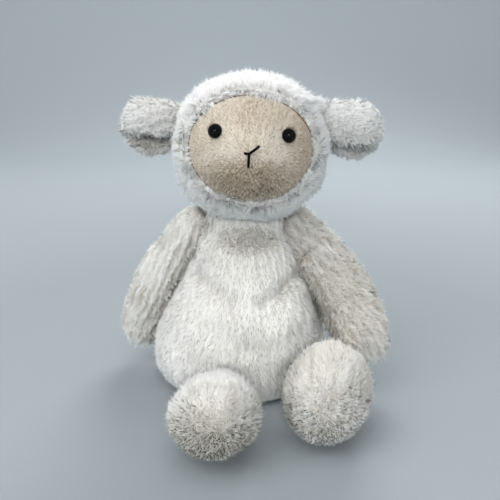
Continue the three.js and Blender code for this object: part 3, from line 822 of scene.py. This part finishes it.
def tube(route, radius, sides=6, closed=False):  # a round thread along a route in millimetres
    route = np.asarray(route, float)
    ahead = unit(np.roll(route, -1, 0) - np.roll(route, 1, 0)) if closed else unit(np.gradient(route, axis=0))
    side = unit(np.cross(ahead, np.array([0.13, -1, 0.21])))
    front = np.cross(ahead, side)
    radius = np.broadcast_to(radius, len(route))
    turn = np.linspace(0, 2 * math.pi, sides, endpoint=False)
    ring = side[:, None] * np.cos(turn)[None, :, None] + front[:, None] * np.sin(turn)[None, :, None]
    vertices = (route[:, None] + ring * radius[:, None, None]).reshape(-1, 3)
    count = len(route)
    faces = []
    for i in range(count if closed else count - 1):
        a, b = i * sides, (i + 1) % count * sides
        for j in range(sides):
            k = (j + 1) % sides
            faces.append((a + j, b + j, b + k, a + k)[::-1])
    if not closed:
        faces.append(tuple(range(sides)))
        faces.append(tuple(range((count - 1) * sides, count * sides))[::-1])
    return vertices, faces


def joinShapes(shapes):
    vertices, faces, start = [], [], 0
    for v, f in shapes:
        vertices.append(v)
        faces.extend(tuple(i + start for i in face) for face in f)
        start += len(v)
    return np.concatenate(vertices), faces


def makeEyes():
    for side, name in ((-1, "right_eye"), (1, "left_eye")):
        x, z = side * eyeLook["spacing"] / 2, eyeLook["rise"]
        place, out = onFace(np.array(x), np.array(z)), faceOut(np.array(x), np.array(z))
        radius, stand = eyeLook["diameter"] / 2, eyeLook["stand"]
        low, end = eyeLook["low"], -eyeLook["shank"]
        thick, thin = eyeLook["shankRadius"], eyeLook["grooveRadius"]
        middle = stand - radius
        profile = [(0, end), (thick - 0.3, end), (thick, end + 0.5)]
        for i in range(eyeLook["ribs"]):  # ribs that grip the washer
            step = end + 1.5 + i
            profile += [(thick, step), (thin, step + 0.3), (thick, step + 0.6)]
        profile += [(thick, low), (radius * 0.96, low), (radius, low + 0.2)]
        for i in range(1, 17):
            a = math.pi / 2 * i / 16
            profile.append((radius * math.cos(a), middle + radius * math.sin(a)))
        turn = np.linspace(0, 2 * math.pi, eyeLook["sides"], endpoint=False)
        across = unit(np.cross(out, np.array([0, 0, 1.0])))
        up = np.cross(across, out)
        rings = []
        for r, h in profile[1:-1]:
            rings.append(place + out * h + r * (np.cos(turn)[:, None] * across + np.sin(turn)[:, None] * up))
        vertices = np.concatenate([[place + out * profile[0][1]], *rings, [place + out * profile[-1][1]]])
        n, last = eyeLook["sides"], len(vertices) - 1
        faces = [(0, 1 + (j + 1) % n, 1 + j) for j in range(n)]
        for i in range(len(rings) - 1):
            a, b = 1 + i * n, 1 + (i + 1) * n
            faces += [(a + j, a + (j + 1) % n, b + (j + 1) % n, b + j) for j in range(n)]
        a = 1 + (len(rings) - 1) * n
        faces += [(a + j, a + (j + 1) % n, last) for j in range(n)]
        eye = newPiece(name + "_dome", fromSkull(vertices) * mm, faces, "eye_black")
        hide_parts(name)
        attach(eye, "head")
        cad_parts[name + "_washer"].data.materials.clear()
        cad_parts[name + "_washer"].data.materials.append(finishes["washer_plastic"])


def makeNose():
    ends = [(noseLook["reach"], noseLook["lift"]), (-noseLook["reach"] / 2, 0.2), (0, -noseLook["mouth"])]
    threads = []
    for across, up in ends:
        share = np.linspace(-0.04, 1.04, 16)
        length = math.hypot(across, up)
        aside = np.array([-up, across]) / length
        for i in range(noseLook["threads"]):
            turn = 2 * math.pi * (share * length / noseLook["twist"] + i / noseLook["threads"])
            shift = noseLook["wind"] * np.cos(turn)
            x = across * share + noseLook["aside"] + aside[0] * shift
            z = up * share + noseLook["rise"] + aside[1] * shift
            dive = noseLook["dive"] * ease(np.abs(share - 0.5), 0.44, 0.54)
            lift = noseLook["stand"] * (1 + np.sin(turn)) - dive
            threads.append(tube(onFace(x, z, lift), noseLook["thread"]))
    vertices, faces = joinShapes(threads)
    stitches = newPiece("nose_stitches", fromSkull(vertices) * mm, faces, "stitch_black")
    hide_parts("nose_and_mouth_thread")
    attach(stitches, "head")


def makeFaceSeam():
    turn = np.linspace(0, 2 * math.pi, 180, endpoint=False)
    x = (face["width"] / 2 + 0.3) * np.cos(turn)
    z = face["rise"] + (face["height"] / 2 + 0.3) * np.sin(turn)
    vertices, faces = tube(onFace(x, z, -2.0), 0.4, closed=True)
    seam = newPiece("face_seam", fromSkull(vertices) * mm, faces, "seam_brown")
    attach(seam, "head")


# Ears: folded leaves, long pile outside and a short nap inside, the inside darkened as painted shade of the
# fold
earLook = {"voxel": 1.8, "relax": 4, "sink": 0.8, "cap": 0.6, "fill": 0.4,
           "uneven": 0.4, "lump": 10.0, "inHood": 2.5, "tipIn": 4.0, "backDown": 3.0,
           "flapUp": {"right_ear": 6.5, "left_ear": 3.0}}


def makeEar(name, side):
    nodes = [name + "_outer", name + "_lining"]
    low, high = (np.array(c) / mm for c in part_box(name + "_outer"))
    middle = (low + high) / 2
    root = high[0] if side < 0 else low[0]

    def sewOn(places, out):  # the root runs up the hood, and the front flap ends above the back one
        at = places / mm
        p = toSkull(at)
        n, half = skull["fullness"], skull["half"]
        left = np.maximum(1 - np.abs(p[:, 1] / half[1]) ** n - np.abs(p[:, 2] / half[2]) ** n, 0.02)
        hood = skull["place"][0] + side * (half[0] * left ** (1 / n) - earLook["inHood"])
        share = np.clip((at[:, 0] - root) * side / (high[0] - low[0]), 0, 1)
        reach = np.clip((root - hood) * side, 0, 14)
        at[:, 0] -= side * reach * (1 - ease(share, 0, 0.5)) + side * earLook["tipIn"] * ease(share, 0.4, 1)
        flap = ease(-at[:, 1], 6, 14)
        below = np.clip((middle[2] - at[:, 2]) / (middle[2] - low[2]), 0, 1)
        at[:, 2] += (earLook["flapUp"][name] * flap - earLook["backDown"] * (1 - flap)) * below
        return at * mm
    skin = softSkin(name + "_skin", nodes, earLook, name, "white_backing", sewOn)

    def inside(at, out):
        away = at - middle
        return (out * away).sum(1) < 0

    def combEar(at, out):
        x, _, z = (at - middle).T
        low = ease(-z, -3, 12)
        tip = ease(x * side, 8, 18)
        share = 0.5 + 0.45 * low - 0.25 * tip - 0.3 * ease(z, 2, 12)
        return {
            # The right ear takes a lower tone and the left ear a higher one: painted shade and painted light
            # that even out how the light falls on them
            **worn(share, tone=(0.72 + 0.2 * side, 0.1), stray=(1.5, 3.5)),
            "toward": aimed(float(side), 0.0, -0.4 + 0.03 * z),
            "long": 1.0 + 0.15 * tip,
            "lock": 2.4,
            "curl": 2.6,
        }

    # The lining takes a low tone and grey pile: painted shade inside the fold
    def combShadedLining(at, out):
        return {**combEar(at, out), "tone": 0.2, "lean": 34}
    outerPile = {**tuftyPile, "perSquareMm": 7.0, "length": 3.8, "ridgePaintedShade": 0.1, "ridgeShade": 0.4}
    innerPile = {**longPile, "perSquareMm": 6.0, "length": 2.4}
    growPile(name + "_outer_pile", skin, outerPile, combEar, name, "white_pile", 41 + side,
             keep=lambda at, out: ~inside(at, out))
    growPile(name + "_inner_pile", skin, innerPile, combShadedLining, name, "grey_pile", 44 + side,
             keep=inside)


# Arms hang from the shoulders and spread at the paws
armLook = {"voxel": 3.2, "relax": 5, "sink": 0.4, "cap": 1.0, "fill": 0.6, "underHood": 1.5,
           "towardBody": {"right_arm": 1.5, "left_arm": 7.5},
           "paw": {"right_arm": (22.0, 34.0), "left_arm": (32.0, 46.0)}}
armPile = {
    **tuftyPile, "perSquareMm": 5.2, "ridge": 3.2, "ridgeStretch": 4.0, "ridgePaintedShade": 0.2, "ridgeDraw": 1.3,
    "patchTone": 0.02, "patchLean": 2,
}


def makeArm(name, comb, seed):
    nodes = [name + "_cover", name + "_stuffing"]
    side = -1 if name == "right_arm" else 1

    def lieAgainstBody(places, out):
        z = places[:, 2] / mm
        inner = ease(-side * out[:, 0], 0.1, 0.8)
        push = armLook["towardBody"][name] * inner * ease(z, 24, 48) * (1 - 0.7 * ease(z, 84, 116))
        push = push + armLook["underHood"] * ease(z, 98, 112)
        return places + out * (push * mm)[:, None]
    skin = softSkin(name + "_skin", nodes, armLook, name, "cream_backing", lieAgainstBody)
    growPile(name + "_pile", skin, armPile, comb, name, "cream_pile", seed)


def combRightArm(at, out):
    z = at[:, 2]
    inner = ease(out[:, 0], -0.1, 0.6)
    paw = 1 - ease(z, *armLook["paw"]["right_arm"])
    # Toward the body the pile curls and its tone drops: painted shade between arm and body
    share = np.clip(0.7 * inner + 0.3 + 0.25 * ease(-z, -84, -50) - 0.2 * paw, 0, 1)
    return {
        **worn(share, stray=(1.5, 3.5), curl=(1.2, 1.8), tone=(0.98, 0.22)),
        "toward": aimed(-0.45, -0.1, -1.0),
        "long": 1 + 0.3 * paw,
    }


def combLeftArm(at, out):
    z = at[:, 2]
    paw = 1 - ease(z, *armLook["paw"]["left_arm"])
    inner = ease(-out[:, 0], -0.5, 0.6)
    return {
        **worn(0.45, stray=(1.0, 3.0), curl=(1.0, 2.4)),
        "toward": aimed(0.8 - 0.3 * paw, -0.15, -0.75 - 0.2 * paw),
        "lean": 60 - 20 * paw,
        # A low tone over the whole arm, lower still toward the body and higher at the top: painted shade on
        # the side away from the light and between arm and body, painted light on the top
        "tone": 0.18 + 0.25 * paw - 0.3 * inner * (1 - paw) + 0.32 * ease(z, 80, 105),
        "long": 1.25 + 0.6 * paw,
        "lock": 2.6,
    }


footPile = {**longPile, "perSquareMm": 5.6, "width": 0.3}


# Legs lie along the seat and end in large round feet with the toes up
legLook = {"voxel": 3.4, "relax": 5, "sink": 1.4, "cap": 1.2, "fill": 0.75,
           "hip": (-64.0, -44.0), "foot": (58.0, 74.0), "footMiddle": {"right_leg": -12.9, "left_leg": 51.2},
           "hipMiddle": {"right_leg": -22.0, "left_leg": 34.0}, "hipPull": 0.3,
           "wornUp": {"right_leg": 1.5, "left_leg": 1.0}, "wornFade": {"right_leg": 0.42, "left_leg": 0.8},
           # Tone from the top of the foot to its underside: the right foot lighter on top and darker below,
           # painted light and shade; the left foot darker on top and lighter below, painted shade and light
           # that even out its lighting
           "tone": {"right_leg": (0.98, 0.12), "left_leg": (0.22, 0.7)},
           "worn": {"lean": (60, 44), "lock": (1.8, 1.7), "stray": (2.2, 6.0), "curl": (1.2, 2.2),
                    "rough": (0.6, 1.2)}}


def makeLeg(name, seed):
    prefix = name.split("_")[0]
    nodes = [name + "_cover", name + "_stuffing", prefix + "_foot_sole", prefix + "_foot_pellet_bag"]

    def tuckHip(places, out):  # the hip end slips in under the body
        hip = ease(places[:, 1] / mm, *legLook["hip"])
        pull = (places[:, 0] / mm - legLook["hipMiddle"][name]) * legLook["hipPull"]
        return places - aimed(pull * hip, 0.0, 0.0) * mm
    skin = softSkin(name + "_skin", nodes, legLook, name, "cream_backing", tuckHip)

    def combLeg(at, out):
        x = at[:, 0] - legLook["footMiddle"][name]
        foot = ease(-at[:, 1], *legLook["foot"])
        # Where the foot faces down, the pile curls and takes the underside tone: painted shade on the right
        # foot, painted light on the left
        below = ease(-out[:, 1], -0.5, 0.3) * (1 - 0.7 * ease(np.abs(out[:, 0]), 0.5, 1))
        above = out[:, 2] + 0.06 * np.sin(x * 0.5) + 0.05 * np.sin(x * 0.23 + 1)
        under = np.clip(below - ease(above, -0.3, legLook["wornUp"][name]), 0, 1)
        share = np.clip(under ** legLook["wornFade"][name] + 0.3 * (1 - foot), 0, 1)
        return {
            **worn(share, tone=legLook["tone"][name], **legLook["worn"]),
            "toward": aimed(x * 0.01 * foot, 0.7, 1 - 0.9 * (1 - foot)),
            "long": 1.15 - 0.4 * under,
        }
    growPile(name + "_pile", skin, footPile, combLeg, name, "cream_pile", seed)


# Tail: a short round stub on the back
tailLook = {"voxel": 2.6, "relax": 4, "sink": 1.0, "cap": 0.8, "fill": 0.6}


def combTail(at, out):
    return {"toward": aimed(0.0, 1.0, -0.5), "lean": 55}


def makeTail():
    skin = softSkin("tail_skin", ["tail_cover", "tail_stuffing"], tailLook, "tail",
                    "cream_backing")
    growPile("tail_pile", skin, longPile, combTail, "tail", "cream_pile", 71)


# Floor, backdrop and light
stageLook = {"paper": linear(186, 194, 199), "near": linear(144, 151, 155), "fade": (0.25, 1.1),
             "far": (1.75, 2.5), "back": 0.9, "bend": 0.6, "wide": 3.0, "bendSteps": 12}
aimAt = Vector((0.0, -0.02, 0.09))  # the middle of the lamb
skyLook = {"glow": (0.418, 0.436, 0.45), "seen": linear(178, 188, 195)}


def seenDirectly(nodes, links):  # 1 for what the camera sees, also in a mirror or through glass
    path = nodes.new("ShaderNodeLightPath")
    result = path.outputs["Is Camera Ray"]
    for ray in ("Is Glossy Ray", "Is Transmission Ray"):
        more = nodes.new("ShaderNodeMath")
        more.operation = "MAXIMUM"
        links.new(result, more.inputs[0])
        links.new(path.outputs[ray], more.inputs[1])
        result = more.outputs[0]
    return result


# The camera sees the paper a little deeper near the part, and far away one plain colour without an edge
def paperMaterial():
    material, nodes, links, shader = newMaterial("stage_paper")
    shader.inputs["Roughness"].default_value = 0.9
    shader.inputs["Specular IOR Level"].default_value = 0.1
    seen = seenDirectly(nodes, links)
    where, span = nodes.new("ShaderNodeTexCoord"), nodes.new("ShaderNodeVectorMath")
    span.operation = "LENGTH"
    links.new(where.outputs["Object"], span.inputs[0])
    shares = []
    for low, high, start, end in ((*stageLook["fade"], 1.0, 0.0), (*stageLook["far"], 0.0, 1.0)):
        reach, share = nodes.new("ShaderNodeMapRange"), nodes.new("ShaderNodeMath")
        for key, value in zip(("From Min", "From Max", "To Min", "To Max"), (low, high, start, end)):
            reach.inputs[key].default_value = value
        share.operation = "MULTIPLY"
        links.new(span.outputs["Value"], reach.inputs["Value"])
        links.new(reach.outputs["Result"], share.inputs[0])
        links.new(seen, share.inputs[1])
        shares.append(share.outputs[0])
    tint = nodes.new("ShaderNodeMix")
    tint.data_type = "RGBA"
    tint.inputs["A"].default_value = (*stageLook["paper"], 1)
    tint.inputs["B"].default_value = (*stageLook["near"], 1)
    links.new(shares[0], tint.inputs["Factor"])
    links.new(tint.outputs["Result"], shader.inputs["Base Color"])
    plain, mix = nodes.new("ShaderNodeEmission"), nodes.new("ShaderNodeMixShader")
    plain.inputs["Color"].default_value = (*skyLook["seen"], 1)
    links.new(shares[1], mix.inputs[0])
    links.new(shader.outputs[0], mix.inputs[1])
    links.new(plain.outputs[0], mix.inputs[2])
    links.new(mix.outputs[0], nodes["Material Output"].inputs["Surface"])
    return material


def makeStage():
    back, bend, wide = stageLook["back"], stageLook["bend"], stageLook["wide"]
    profile = [(-wide, 0.0), (back, 0.0)]
    steps = stageLook["bendSteps"]
    for i in range(1, steps + 1):
        a = math.pi / 2 * i / steps
        profile.append((back + bend * math.sin(a), bend - bend * math.cos(a)))
    profile.append((back + bend, wide))
    vertices = [(x, y, z) for x in (-wide, wide) for y, z in profile]
    n = len(profile)
    mesh = bpy.data.meshes.new("floor")
    mesh.from_pydata(vertices, [], [(i, n + i, n + i + 1, i + 1) for i in range(n - 1)])
    mesh.materials.append(paperMaterial())
    for side in mesh.polygons:
        side.use_smooth = True
    placed("floor", mesh)


lamps = {
    "key": {"place": (-0.75, -0.75, 1.05), "size": (1.1, 1.1), "watts": 9.6},
    "top": {"place": (-0.05, -0.35, 1.4), "size": (1.0, 1.0), "watts": 6.8},
    "front": {"place": (0.0, -1.4, 0.7), "size": (0.5, 0.1), "watts": 8.0},
    "back": {"place": (0.3, 1.1, 1.1), "size": (0.9, 0.9), "watts": 6.5, "spreadDegrees": 100},
}


def makeLights():
    for name, look in lamps.items():
        data = bpy.data.lights.new(name, "AREA")
        data.energy = look["watts"]
        data.shape = "RECTANGLE"
        data.size, data.size_y = look["size"]
        data.spread = math.radians(look.get("spreadDegrees", 180))
        lamp = placed(name, data)
        lamp.location = look["place"]
        lamp.visible_camera = False
        lamp.visible_glossy = name == "front"  # the only lamp that shows in the eyes
        aim = aimAt - Vector(look["place"])
        lamp.rotation_euler = aim.to_track_quat("-Z", "Y").to_euler()
    world = bpy.data.worlds.new("sky")
    bpy.context.scene.world = world
    world.use_nodes = True
    nodes, links = world.node_tree.nodes, world.node_tree.links
    glow, seen, mix = nodes["Background"], nodes.new("ShaderNodeBackground"), nodes.new("ShaderNodeMixShader")
    for light, colour in ((glow, skyLook["glow"]), (seen, skyLook["seen"])):
        light.inputs["Color"].default_value = (*colour, 1)
        light.inputs["Strength"].default_value = 1.0
    links.new(seenDirectly(nodes, links), mix.inputs[0])
    links.new(glow.outputs[0], mix.inputs[1])
    links.new(seen.outputs[0], mix.inputs[2])
    links.new(mix.outputs[0], nodes["World Output"].inputs["Surface"])


makeCamera()
makeStage()
makeLights()
bpy.context.scene.view_settings.view_transform = "Standard"
makeFinishes()
makeBody()
makeHood()
makeFace()
makeEyes()
makeNose()
makeFaceSeam()
makeEar("right_ear", -1)
makeEar("left_ear", 1)
makeArm("right_arm", combRightArm, 51)
makeArm("left_arm", combLeftArm, 52)
makeLeg("right_leg", 61)
makeLeg("left_leg", 62)
makeTail()
